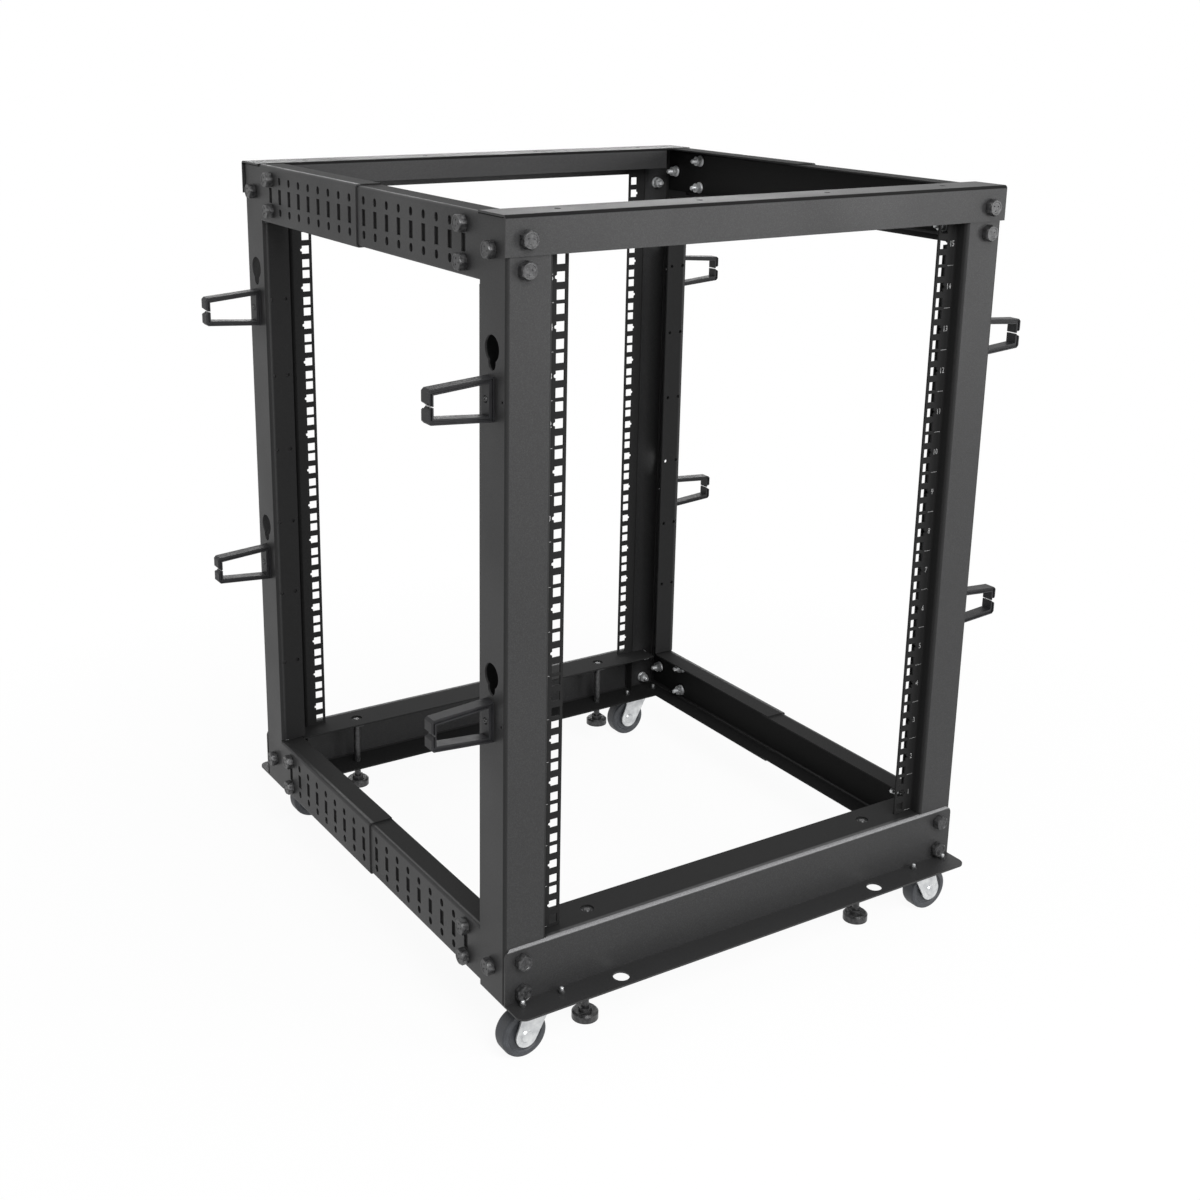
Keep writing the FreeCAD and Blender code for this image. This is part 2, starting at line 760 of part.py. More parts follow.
def make_fork(corner):
    body = new_body("caster_fork_" + corner.name)
    x, y = caster_place(corner)
    crown = s["crown_radius"]
    king = s["king_radius"] + s["pin_play"]
    slope = s["fork_steel"] / 2
    turned(body, x, y, [(king, crown_z), (crown, crown_z), (crown, crown_top - slope),
                        (crown - slope, crown_top), (king, crown_top)])
    axle_x = x + s["trail"] * corner.trail
    inside = s["wheel_width"] / 2 + s["fork_gap"]
    outside = inside + s["fork_steel"]
    for hand in (-1, 1):
        cheek = facing_front(body, y + (inside + s["fork_steel"] / 2) * hand, "cheek")
        draw_cheek(cheek, corner.trail, x, axle_x)
        pad(body, cheek, s["fork_steel"], True)
    head = s["axle_head"]
    end = outside + s["axle_head_height"]
    lip = s["axle_head_height"]
    pin_radius = s["axle_radius"]
    axle = facing_side(body, axle_x, "axle", y, s["wheel_radius"])
    polygon(axle, [
        (-end, zero), (end, zero), (end, head - lip), (outside, head), (outside, pin_radius),
        (-outside, pin_radius), (-outside, head), (-end, head - lip)])
    revolve(body, axle, "H_Axis")
    return body


def draw_cheek(sketch, way, x, axle_x):
    """A cheek: as wide as the crown at its top, and round about the axle at its foot."""
    crown = s["crown_radius"]
    radius = s["cheek_radius"]
    axle_z = s["wheel_radius"]
    chord = crown - s["fork_steel"] * 2
    near = x + chord * way
    far = x - chord * way
    rise = crown_z.value - axle_z.value

    def touch(top, turn):
        """Where a line from the cheek's top touches its round foot."""
        run = top.value - axle_x.value
        bearing = math.atan2(rise, run) + turn * math.acos(radius.value / math.hypot(rise, run))
        return bearing, FreeCAD.Vector(axle_x.value + radius.value * math.cos(bearing),
                                       axle_z.value + radius.value * math.sin(bearing), 0)

    left, right = (far, near) if way > 0 else (near, far)
    left_turn, left_touch = touch(left, 1)
    right_turn, right_touch = touch(right, -1)
    foot = arc(sketch, axle_x, axle_z, radius, left_turn, right_turn)
    top = sketch.addGeometry(Part.LineSegment(point(right, crown_z), point(left, crown_z)), False)
    down = sketch.addGeometry(Part.LineSegment(point(left, crown_z), left_touch), False)
    rising = sketch.addGeometry(Part.LineSegment(right_touch, point(right, crown_z)), False)
    pin(sketch, top, 1, right, crown_z)
    pin(sketch, top, 2, left, crown_z)
    sketch.addConstraint(Sketcher.Constraint("Coincident", top, 2, down, 1))
    sketch.addConstraint(Sketcher.Constraint("Coincident", rising, 2, top, 1))
    sketch.addConstraint(Sketcher.Constraint("Tangent", down, 2, foot, 1))
    sketch.addConstraint(Sketcher.Constraint("Tangent", foot, 2, rising, 1))


def make_wheel(corner):
    body = new_body("caster_wheel_" + corner.name)
    x, y = caster_place(corner)
    hub = s["axle_radius"] + s["pin_play"]
    radius = s["wheel_radius"]
    wide = s["wheel_width"] / 2
    soft = s["wheel_shoulder"]
    dish = s["wheel_dish"]
    inner = s["wheel_dish_inner"]
    outer = s["wheel_dish_outer"]
    half = [(wide, hub), (wide, inner), (wide - dish, inner + dish), (wide - dish, outer - dish),
            (wide, outer), (wide, radius - soft), (wide - soft / 4, radius - soft / 4), (wide - soft, radius)]
    tread = facing_side(body, x + s["trail"] * corner.trail, "tread", y, radius)
    polygon(tread, half + [(-along, out) for along, out in reversed(half)])
    revolve(body, tread, "H_Axis")
    return body


def make_all():
    bodies = []
    for corner in CORNERS:
        bodies.append(make_post(corner))
        bodies.append(make_ring(corner, "upper", s["ring_high"]))
        bodies.append(make_ring(corner, "lower", s["ring_high"] + s["ring_step"]))
        bodies.append(make_foot(corner))
        bodies.append(make_plate(corner))
        bodies.append(make_fork(corner))
        bodies.append(make_wheel(corner))
    for end in ENDS:
        bodies.append(make_base(end))
        bodies.append(make_top(end))
    for side in SIDES:
        for level in ("base", "top"):
            for end in ENDS:
                bodies.append(make_channel(side, end, level))
            bodies.append(make_bar(side, level))
    return bodies


def check(bodies):
    """Stop before anything is written if an object failed or a piece isn't one sound solid."""
    for item in doc.Objects:
        if {"Invalid", "Error"} & set(item.State):
            raise RuntimeError("not built: %s %s" % (item.Name, item.State))
    for body in bodies:
        shape = body.Shape
        if shape.isNull() or not shape.isValid() or len(shape.Solids) != 1:
            raise RuntimeError("not one sound solid: %s" % body.Label)


pieces = make_all()
doc.recompute()
check(pieces)
for piece in pieces:
    piece.Shape.exportStep(os.path.join("parts", piece.Label + ".step"))
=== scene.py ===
import math

import bmesh
import bpy
from bpy.props import FloatProperty, FloatVectorProperty, IntProperty, PointerProperty
from mathutils import Matrix, Vector


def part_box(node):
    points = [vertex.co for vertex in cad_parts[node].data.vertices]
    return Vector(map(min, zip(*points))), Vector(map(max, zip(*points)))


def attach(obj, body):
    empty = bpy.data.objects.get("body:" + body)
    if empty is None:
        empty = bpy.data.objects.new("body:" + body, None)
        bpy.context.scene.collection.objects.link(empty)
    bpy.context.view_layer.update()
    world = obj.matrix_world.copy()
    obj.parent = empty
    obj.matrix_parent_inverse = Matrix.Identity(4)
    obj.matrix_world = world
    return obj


bl_info = {
    "name": "Open frame rack",
    "version": (1, 0, 0),
    "blender": (4, 5, 0),
    "location": "View3D > Sidebar > Rack",
    "description": "Coats, bolts and prints a four post open frame rack and sets it on a white floor",
    "category": "Object",
}

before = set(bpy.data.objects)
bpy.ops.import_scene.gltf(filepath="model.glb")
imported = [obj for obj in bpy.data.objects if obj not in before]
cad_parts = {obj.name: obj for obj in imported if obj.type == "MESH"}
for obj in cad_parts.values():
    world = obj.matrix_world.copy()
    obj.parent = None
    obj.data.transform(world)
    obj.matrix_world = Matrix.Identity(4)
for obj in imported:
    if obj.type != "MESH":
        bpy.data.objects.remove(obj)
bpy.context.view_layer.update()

# Materials made so far, each under the function that makes it
finishes = {}

CORNERS = {"front_left": (-1, -1), "front_right": (1, -1), "back_left": (-1, 1), "back_right": (1, 1)}

# The stretch of a noise's values that is spread over a finish
NOISE_LOW = 0.3
NOISE_HIGH = 0.7

# Squared product of a normal's two parts, where a sheet starts to bend and well into the bend; between them
# the bends' painted light and shade comes in
BEND_START = 0.001
BEND_FULL = 0.04

# Depths under the rack's outer faces between which the coat turns from outer to inner, where its painted
# shade comes in
SKIN_NEAR = 0.003
SKIN_DEEP = 0.006

# How far the foot of a bolt, nut or screw is set into what it sits on
SINK = 0.0002

# Faces that meet at more than this angle keep a sharp edge between them
SHARP_ANGLE = math.radians(35.0)

# The digits' font size over their height, and how much they are narrowed
FONT_OVER_DIGIT = 1.4
DIGIT_NARROWING = 0.80

# The stage's fixed places
FLOOR_REACH = 14.0
FLOOR_DROP = 0.0004
AIM_HEIGHT = 0.45
WHITE = (1.0, 1.0, 1.0, 1.0)


def length(name, text, default):
    return FloatProperty(name=name, description=text, default=default, unit="LENGTH", precision=5)


def share(name, text, default):
    return FloatProperty(name=name, description=text, default=default, min=0.0)


def colour(name, text, default):
    return FloatVectorProperty(
        name=name, description=text, default=default, subtype="COLOR", size=3, min=0.0, max=1.0)


class RackSizes(bpy.types.PropertyGroup):
    bolt_across: length("Bolt hexagon", "Width over a bolt's flats", 0.0152)
    bolt_height: length("Bolt height", "Height of a bolt's head over the sheet", 0.0078)
    bolt_mark: length("Bolt marks", "Diameter of the raised marks on a bolt's head", 0.0017)
    bolt_inset: length("Bolt inset", "From a post's outer side to the bolts of its face", 0.019)
    beam_bolt_drop: length("Beam bolt drop", "From the top down to the top beam's bolts", 0.0215)
    post_bolt_drop: length("Post bolt drop", "From the top down to the posts' bolts", 0.048)
    web_bolt_low: length("Lower web bolt", "From the base beam's foot up to its lower bolts", 0.0125)
    web_bolt_high: length("Upper web bolt", "From the base beam's foot up to its upper bolts", 0.0465)
    side_bolt_depth: length("Side beam bolts", "From a post's face to the side beam's bolts", 0.077)
    side_bolt_rise: length("Side bolt rise", "From a side beam's middle to its bolts", 0.017)
    post_side_depth: length("Post side bolt", "From a post's face to the bolt in its side", 0.025)
    nut_flange: length("Nut flange", "Width over a nut's flange", 0.0145)
    nut_across: length("Nut hexagon", "Width over a nut's flats", 0.0112)
    nut_height: length("Nut height", "Height of a nut", 0.0075)
    thread: length("Thread", "Diameter of a bolt's thread", 0.0062)
    thread_pitch: length("Thread pitch", "From one turn of the thread to the next", 0.00125)
    bolt_tip: length("Bolt tip", "How far a bolt stands out of its nut", 0.0065)
    foot_nut: length("Foot nut", "Width over the flats of the nut that a foot's rod turns in", 0.019)
    foot_nut_height: length("Foot nut height", "Height of the nut that a foot's rod turns in", 0.007)
    foot_rod: length("Foot rod", "Diameter of a foot's rod", 0.008)
    foot_rod_sink: length("Rod sink", "How far a foot's rod ends under the top of the shelf", 0.001)
    stud_spread_x: length("Caster stud spread", "From a caster's axis to its studs, across", 0.0225)
    stud_spread_y: length("Caster stud reach", "From a caster's axis to its studs, along", 0.018)
    stud_nut: length("Stud nut", "Width over the flats of a stud's nut", 0.007)
    stud_radius: length("Stud radius", "Radius of a caster's stud", 0.0020)
    plate_sheet: length("Plate sheet", "Thickness of a caster's plate", 0.0025)
    # The dark filler in the top seams is painted shade, not a piece of the rack
    seam_inset: length("Seam inset", "How far the dark filler stays inside the sheets at a seam", 0.0003)
    ring_screw: length("Ring screw", "Radius of the screw head in a cable ring", 0.0030)
    ring_bar: length("Ring bar", "From a cable ring's inner face to its screw's seat", 0.0036)
    unit: length("Rack unit", "Height of one unit", 0.04445)
    first_unit: length("First unit", "From the base beam's shelf up to the first unit", 0.0015)
    rail_recess: length("Rail recess", "From a post's face back to its rail", 0.015)
    number_height: length("Number height", "Height of the unit numbers", 0.0062)
    number_place: length("Number place", "From the rack's middle to the unit numbers", 0.2443)
    tick_inner: length("Tick start", "From the rack's middle to the ticks", 0.2400)
    tick_outer: length("Tick end", "From the rack's middle to the ticks' outer ends", 0.2485)
    tick_width: length("Tick width", "Height of a tick line", 0.0004)
    print_film: length("Print film", "Thickness of the print", 0.00008)
    units: IntProperty(name="Units", description="How many units are numbered", default=15, min=1)


class RackColours(bpy.types.PropertyGroup):
    coat: colour("Powder coat", "The sheet's black coat", (0.0196, 0.0196, 0.02))
    coat_light: colour("Coat grain", "The light grains of the coat", (0.039, 0.039, 0.0397))
    # The bars' near-black is painted shade behind the side beams' slots
    bar_coat: colour("Bar coat", "The deep black of the bars inside the side beams", (0.004, 0.004, 0.004))
    bolt: colour("Bolt", "The bolts' black finish", (0.026, 0.026, 0.027))
    bolt_worn: colour("Bolt wear", "Where the bolts' finish is rubbed", (0.075, 0.075, 0.076))
    zinc: colour("Zinc", "The bright plating of nuts and casters", (0.62, 0.63, 0.63))
    zinc_shade: colour("Zinc shade", "The duller parts of the plating", (0.44, 0.45, 0.46))
    plastic: colour("Ring plastic", "The cable rings' plastic", (0.012, 0.012, 0.013))
    wheel: colour("Wheel", "The wheels' dark blue-grey", (0.024, 0.026, 0.030))
    print_ink: colour("Print", "The printed unit numbers", (0.36, 0.36, 0.36))
    # The posts' bends keep less of the coat's colour: painted shade
    side_bend: share("Post bend", "Share of the coat's colour that the posts' bends keep", 0.45)
    # The top beams' bends keep little of the coat's colour: a painted dark line of shade
    top_bend: share("Top bend", "Share of the coat's colour that the top beams' bends keep", 0.08)
    # The base beams' bends show the coat many times lighter: a painted highlight
    base_bend: share("Base bend", "How many times lighter the coat shows on the base beams' bends", 7.0)
    # The coat on faces folded inward keeps only this share of its colour: painted shade
    inner: share("Inner faces", "Share of the coat's colour on faces that are folded inward", 0.22)


class RackStage(bpy.types.PropertyGroup):
    camera_place: FloatVectorProperty(
        name="Camera", description="Where the camera stands", default=(-0.998, -1.484, 0.991),
        subtype="TRANSLATION", size=3)
    camera_yaw: FloatProperty(
        name="Yaw", description="The camera's turn from straight ahead to the right",
        default=math.radians(32.2), subtype="ANGLE")
    camera_pitch: FloatProperty(
        name="Pitch", description="How far the camera looks down",
        default=math.radians(16.2), subtype="ANGLE")
    camera_roll: FloatProperty(
        name="Roll", description="The camera's lean", default=math.radians(0.7), subtype="ANGLE")
    camera_lens: FloatProperty(name="Lens", description="Focal length", default=48.7, unit="CAMERA")
    shift_across: FloatProperty(
        name="Shift across", description="The lens's shift to the right, as a share of the frame",
        default=0.04)
    shift_up: FloatProperty(
        name="Shift up", description="The lens's shift upwards, as a share of the frame",
        default=-0.092)
    floor_white: colour("Floor", "The floor's white", (0.88, 0.88, 0.88))
    near_white: share("White near", "Share of plain white in the floor under the rack", 0.93)
    near: length("Shadow field", "How far from the rack's middle shadows show in full", 0.45)
    far: length("White field", "How far from the rack's middle the floor is plain white", 1.1)
    ambient: share("Ambient", "Strength of the light from all round", 0.35)
    front_lamp: share("Front lamp", "Power of the softbox in front", 75.0)
    right_lamp: share("Right lamp", "Power of the softbox on the right", 38.0)
    left_lamp: share("Left lamp", "Power of the softbox on the left", 5.0)
    top_lamp: share("Top lamp", "Power of the softbox overhead", 8.0)
    back_lamp: share("Back lamp", "Power of the low wide softbox behind", 32.0)


def sizes():
    return bpy.context.scene.rack_sizes


def colours():
    return bpy.context.scene.rack_colours


# Materials


def blank_material(name):
    material = bpy.data.materials.new(name)
    material.use_nodes = True
    nodes = material.node_tree.nodes
    return material, nodes, material.node_tree.links, nodes["Principled BSDF"]


def add_noise(nodes, links, scale, detail):
    """A noise in the piece's own coordinates; scale is in grains per metre."""
    place = nodes.new("ShaderNodeTexCoord")
    noise = nodes.new("ShaderNodeTexNoise")
    noise.inputs["Scale"].default_value = scale
    noise.inputs["Detail"].default_value = detail
    links.new(place.outputs["Object"], noise.inputs["Vector"])
    return noise.outputs["Fac"]


def blend_colours(nodes, links, factor, low, high, first, second):
    ramp = nodes.new("ShaderNodeValToRGB")
    ramp.color_ramp.elements[0].position = low
    ramp.color_ramp.elements[0].color = (*first, 1.0)
    ramp.color_ramp.elements[1].position = high
    ramp.color_ramp.elements[1].color = (*second, 1.0)
    links.new(factor, ramp.inputs["Fac"])
    return ramp.outputs["Color"]


def map_range(nodes, links, value, start, stop, low, high):
    """Turn a value between start and stop into one between low and high."""
    node = nodes.new("ShaderNodeMapRange")
    node.inputs["From Min"].default_value = start
    node.inputs["From Max"].default_value = stop
    node.inputs["To Min"].default_value = low
    node.inputs["To Max"].default_value = high
    links.new(value, node.inputs["Value"])
    return node.outputs["Result"]


def spread(nodes, links, noise, low, high):
    """Stretch the middle of a noise over the values between low and high."""
    return map_range(nodes, links, noise, NOISE_LOW, NOISE_HIGH, low, high)


def add_bump(nodes, links, shader, height, strength, distance):
    bump = nodes.new("ShaderNodeBump")
    bump.inputs["Strength"].default_value = strength
    bump.inputs["Distance"].default_value = distance
    links.new(height, bump.inputs["Height"])
    links.new(bump.outputs["Normal"], shader.inputs["Normal"])


def scaled(tint, times):
    return [channel * times for channel in tint]


def join_values(nodes, links, operation, first, second):
    node = nodes.new("ShaderNodeMath")
    node.operation = operation
    links.new(first, node.inputs[0])
    links.new(second, node.inputs[1])
    return node.outputs[0]


def on_bends(nodes, links, first, second, amount):
    """Painted light and shade on the bends: goes from 1 on flat sheet to the amount where the sheet bends
    between two axes.
    """
    place = nodes.new("ShaderNodeTexCoord")
    split = nodes.new("ShaderNodeSeparateXYZ")
    links.new(place.outputs["Normal"], split.inputs[0])
    product = join_values(nodes, links, "MULTIPLY", split.outputs[first], split.outputs[second])
    square = join_values(nodes, links, "MULTIPLY", product, product)
    return map_range(nodes, links, square, BEND_START, BEND_FULL, 1.0, amount)


def on_skin(nodes, links, amount):
    """Painted shade: goes from 1 on the rack's outer faces to the amount on what is folded inward."""
    corner = corners()[0]
    place = nodes.new("ShaderNodeTexCoord")
    split = nodes.new("ShaderNodeSeparateXYZ")
    links.new(place.outputs["Object"], split.inputs[0])
    sides = []
    for axis, skin in (("X", corner.side_x), ("Y", corner.face_y)):
        square = join_values(nodes, links, "MULTIPLY", split.outputs[axis], split.outputs[axis])
        inner, outer = (skin - SKIN_DEEP) ** 2, (skin - SKIN_NEAR) ** 2
        sides.append(map_range(nodes, links, square, inner, outer, amount, 1.0))
    return join_values(nodes, links, "MAXIMUM", *sides)


def sand_coat(name, first, second, bend_shading_share, inner_shade_share):
    """Sand-textured black powder coat, with painted light and shade on its bends and painted shade on faces
    folded inward; where it keeps less of its colour, it is duller too.
    """
    material, nodes, links, shader = blank_material(name)
    grain = add_noise(nodes, links, scale=1500.0, detail=3.0)
    cloud = add_noise(nodes, links, scale=9.0, detail=2.0)
    flat = blend_colours(
        nodes, links, grain, low=0.45, high=0.75, first=colours().coat, second=colours().coat_light)
    bend = on_bends(nodes, links, first, second, bend_shading_share)
    painted_shading = join_values(nodes, links, "MULTIPLY", bend, on_skin(nodes, links, inner_shade_share))
    tint = nodes.new("ShaderNodeVectorMath")
    tint.operation = "SCALE"
    links.new(flat, tint.inputs[0])
    links.new(painted_shading, tint.inputs["Scale"])
    links.new(tint.outputs["Vector"], shader.inputs["Base Color"])
    satin = spread(nodes, links, cloud, low=0.40, high=0.50)
    matt = map_range(nodes, links, painted_shading, start=0.0, stop=1.0, low=1.0, high=0.2)
    links.new(join_values(nodes, links, "MAXIMUM", satin, matt), shader.inputs["Roughness"])
    shader.inputs["Specular IOR Level"].default_value = 0.25
    add_bump(nodes, links, shader, grain, strength=0.22, distance=0.0003)
    return material


def post_coat():
    """The coat of posts and side beams, a little darker on the upright bends with painted shade, and with
    painted shade on faces folded inward.
    """
    return sand_coat("post_coat", "X", "Y", colours().side_bend, colours().inner)


def base_coat():
    """The coat of the base beams, with a painted highlight as a light line along their bends, and painted
    shade on faces folded inward.
    """
    return sand_coat("base_coat", "Z", "Y", colours().base_bend, colours().inner)


def top_coat():
    """The coat of the top beams, with a dark line of painted shade along their bends."""
    return sand_coat("top_coat", "Z", "Y", colours().top_bend, inner_shade_share=1.0)


def bar_coat():
    """Painted shade: deep black, so that the side beams' slots read dark."""
    material, nodes, links, shader = blank_material("bar_coat")
    grain = add_noise(nodes, links, scale=900.0, detail=2.0)
    light = scaled(colours().bar_coat, times=1.6)
    tint = blend_colours(nodes, links, grain, low=0.4, high=0.7, first=colours().bar_coat, second=light)
    links.new(tint, shader.inputs["Base Color"])
    links.new(spread(nodes, links, grain, low=0.6, high=0.75), shader.inputs["Roughness"])
    shader.inputs["Specular IOR Level"].default_value = 0.12
    return material


def black_finish():
    """The black oxide of bolts and levelling feet, a little rubbed."""
    material, nodes, links, shader = blank_material("black_finish")
    grain = add_noise(nodes, links, scale=700.0, detail=4.0)
    wear = add_noise(nodes, links, scale=260.0, detail=3.0)
    tint = blend_colours(
        nodes, links, wear, low=0.42, high=0.75, first=colours().bolt, second=colours().bolt_worn)
    links.new(tint, shader.inputs["Base Color"])
    links.new(spread(nodes, links, wear, low=0.26, high=0.42), shader.inputs["Roughness"])
    shader.inputs["Metallic"].default_value = 0.35
    add_bump(nodes, links, shader, grain, strength=0.12, distance=0.0002)
    return material


def bright_zinc():
    """Bright plating with the soft spangle of pressed steel."""
    material, nodes, links, shader = blank_material("bright_zinc")
    cloud = add_noise(nodes, links, scale=120.0, detail=3.0)
    fine = add_noise(nodes, links, scale=900.0, detail=2.0)
    tint = blend_colours(
        nodes, links, cloud, low=0.35, high=0.7, first=colours().zinc_shade, second=colours().zinc)
    links.new(tint, shader.inputs["Base Color"])
    links.new(spread(nodes, links, cloud, low=0.28, high=0.42), shader.inputs["Roughness"])
    shader.inputs["Metallic"].default_value = 0.6
    add_bump(nodes, links, shader, fine, strength=0.06, distance=0.0002)
    return material


def moulded_plastic():
    """Moulded black plastic with a half gloss."""
    material, nodes, links, shader = blank_material("moulded_plastic")
    grain = add_noise(nodes, links, scale=1100.0, detail=2.0)
    cloud = add_noise(nodes, links, scale=60.0, detail=2.0)
    light = scaled(colours().plastic, times=1.7)
    tint = blend_colours(nodes, links, cloud, low=0.3, high=0.8, first=colours().plastic, second=light)
    links.new(tint, shader.inputs["Base Color"])
    links.new(spread(nodes, links, cloud, low=0.42, high=0.52), shader.inputs["Roughness"])
    shader.inputs["Specular IOR Level"].default_value = 0.2
    add_bump(nodes, links, shader, grain, strength=0.08, distance=0.0002)
    return material


def wheel_plastic():
    """The wheels' moulded dark blue-grey, dusted in patches."""
    material, nodes, links, shader = blank_material("wheel_plastic")
    dust = add_noise(nodes, links, scale=140.0, detail=4.0)
    grain = add_noise(nodes, links, scale=1300.0, detail=2.0)
    light = scaled(colours().wheel, times=1.7)
    tint = blend_colours(nodes, links, dust, low=0.4, high=0.8, first=colours().wheel, second=light)
    links.new(tint, shader.inputs["Base Color"])
    links.new(spread(nodes, links, dust, low=0.48, high=0.62), shader.inputs["Roughness"])
    add_bump(nodes, links, shader, grain, strength=0.15, distance=0.0002)
    return material


def print_ink():
    """Grey print, darker in the speckles where it lies thin."""
    material, nodes, links, shader = blank_material("print_ink")
    speckle = add_noise(nodes, links, scale=2600.0, detail=2.0)
    thin = scaled(colours().print_ink, times=0.5)
    tint = blend_colours(nodes, links, speckle, low=0.35, high=0.6, first=thin, second=colours().print_ink)
    links.new(tint, shader.inputs["Base Color"])
    links.new(spread(nodes, links, speckle, low=0.5, high=0.65), shader.inputs["Roughness"])
    return material


def finish_of(maker):
    """The material that a maker makes, made the first time it is asked for."""
    if maker not in finishes:
        finishes[maker] = maker()
    return finishes[maker]


def give(starts, maker):
    """Put a material on every CAD node whose name starts so, in place of what it had."""
    for name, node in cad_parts.items():
        if name.startswith(starts):
            node.data.materials.clear()
            node.data.materials.append(finish_of(maker))


# Meshes


def facing(place, direction):
    """A matrix at the place whose own Z runs along the direction."""
    turn = Vector((0, 0, 1)).rotation_difference(Vector(direction))
    return Matrix.Translation(place) @ turn.to_matrix().to_4x4()


def hexagon(apothem, limit=math.inf):
    """A hexagon's radius by angle, its corners cut off at the limit."""
    def radius(angle):
        return min(apothem / math.cos((angle + math.pi / 6) % (math.pi / 3) - math.pi / 6), limit)

    return radius


def stack(bm, place, rings, count=24):
    """Close a turned shape through rings of (height, radius), where a radius may be a function."""
    rows = []
    for height, radius in rings:
        row = []
        for step in range(count):
            angle = 2 * math.pi * step / count
            out = radius(angle) if callable(radius) else radius
            spot = Vector((out * math.cos(angle), out * math.sin(angle), height))
            row.append(bm.verts.new(place @ spot))
        rows.append(row)
    for low, high in zip(rows, rows[1:]):
        for step in range(count):
            after = (step + 1) % count
            bm.faces.new((low[step], low[after], high[after], high[step]))
    bm.faces.new(list(reversed(rows[0])))
    bm.faces.new(rows[-1])


def add_bolt_head(bm, place):
    """A plain hexagon head with cut corners, a shallow dish and three raised marks."""
    size = sizes()
    half = size.bolt_across / 2
    washer = half * 0.96
    washer_top = 0.0005
    flats_foot = 0.0006
    top = size.bolt_height
    flats_top = top - 0.0012
    cut = half * 0.98
    rim = half * 0.80
    dish = top - 0.0004
    dish_floor = half * 0.74
    stack(bm, place, [
        (-SINK, washer), (washer_top, washer), (flats_foot, hexagon(half)), (flats_top, hexagon(half)),
        (top, hexagon(half, cut)), (top, rim), (dish, dish_floor)])
    mark = size.bolt_mark / 2
    mark_side = 0.0003
    mark_top = 0.0005
    mark_flat = mark * 0.6
    mark_count = 3
    mark_turn = 0.4
    mark_place = half * 0.42
    for turn in range(mark_count):
        angle = 2 * math.pi * turn / mark_count + mark_turn
        spot = Vector((mark_place * math.cos(angle), mark_place * math.sin(angle), dish))
        stack(bm, place @ Matrix.Translation(spot), [
            (-SINK, mark), (mark_side, mark), (mark_top, mark_flat)], count=10)


def add_nut(bm, place):
    """A hexagon nut on its round flange, with the bolt's thread standing out of it."""
    size = sizes()
    half = size.nut_across / 2
    flange = size.nut_flange / 2
    flange_foot = flange - 0.0003
    flange_low = 0.0004
    flange_high = 0.0011
    cone_top = 0.0020
    cone = half * 1.17
    top = size.nut_height
    flats_top = top - 0.0009
    cut = half * 1.03
    bore = half * 0.6
    stack(bm, place, [
        (-SINK, flange_foot), (flange_low, flange), (flange_high, flange), (cone_top, cone),
        (cone_top, hexagon(half)), (flats_top, hexagon(half)), (top, hexagon(half, cut)), (top, bore)])
    radius = size.thread / 2
    root = radius * 0.86
    point = radius * 0.66
    runout = 0.0006
    rings = [(top - runout, root)]
    turns = int(size.bolt_tip / size.thread_pitch)
    for turn in range(turns):
        low = top + turn * size.thread_pitch
        rings += [(low + size.thread_pitch / 2, radius), (low + size.thread_pitch, root)]
    rings.append((top + turns * size.thread_pitch + runout, point))
    stack(bm, place, rings, count=14)


def add_ring_screw(bm, place):
    """A cable ring's screw: a pan head with a round dent in its middle."""
    head = sizes().ring_screw
    foot = -0.0006
    edge = 0.0004
    shoulder = 0.0016
    crown = 0.0026
    top = 0.0028
    dent = 0.0016
    stack(bm, place, [
        (foot, head * 0.9), (edge, head), (shoulder, head * 0.94), (crown, head * 0.66),
        (top, head * 0.4), (dent, head * 0.3)], count=16)


def finish_piece(bm, name, maker):
    """Turn the built mesh into a piece that rides on the frame."""
    bmesh.ops.recalc_face_normals(bm, faces=bm.faces)
    mesh = bpy.data.meshes.new(name)
    bm.to_mesh(mesh)
    bm.free()
    mesh.materials.append(finish_of(maker))
    mesh.shade_smooth()
    mesh.set_sharp_from_angle(angle=SHARP_ANGLE)
    piece = bpy.data.objects.new(name, mesh)
    bpy.context.scene.collection.objects.link(piece)
    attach(piece, "frame")


# Places, read from the frame


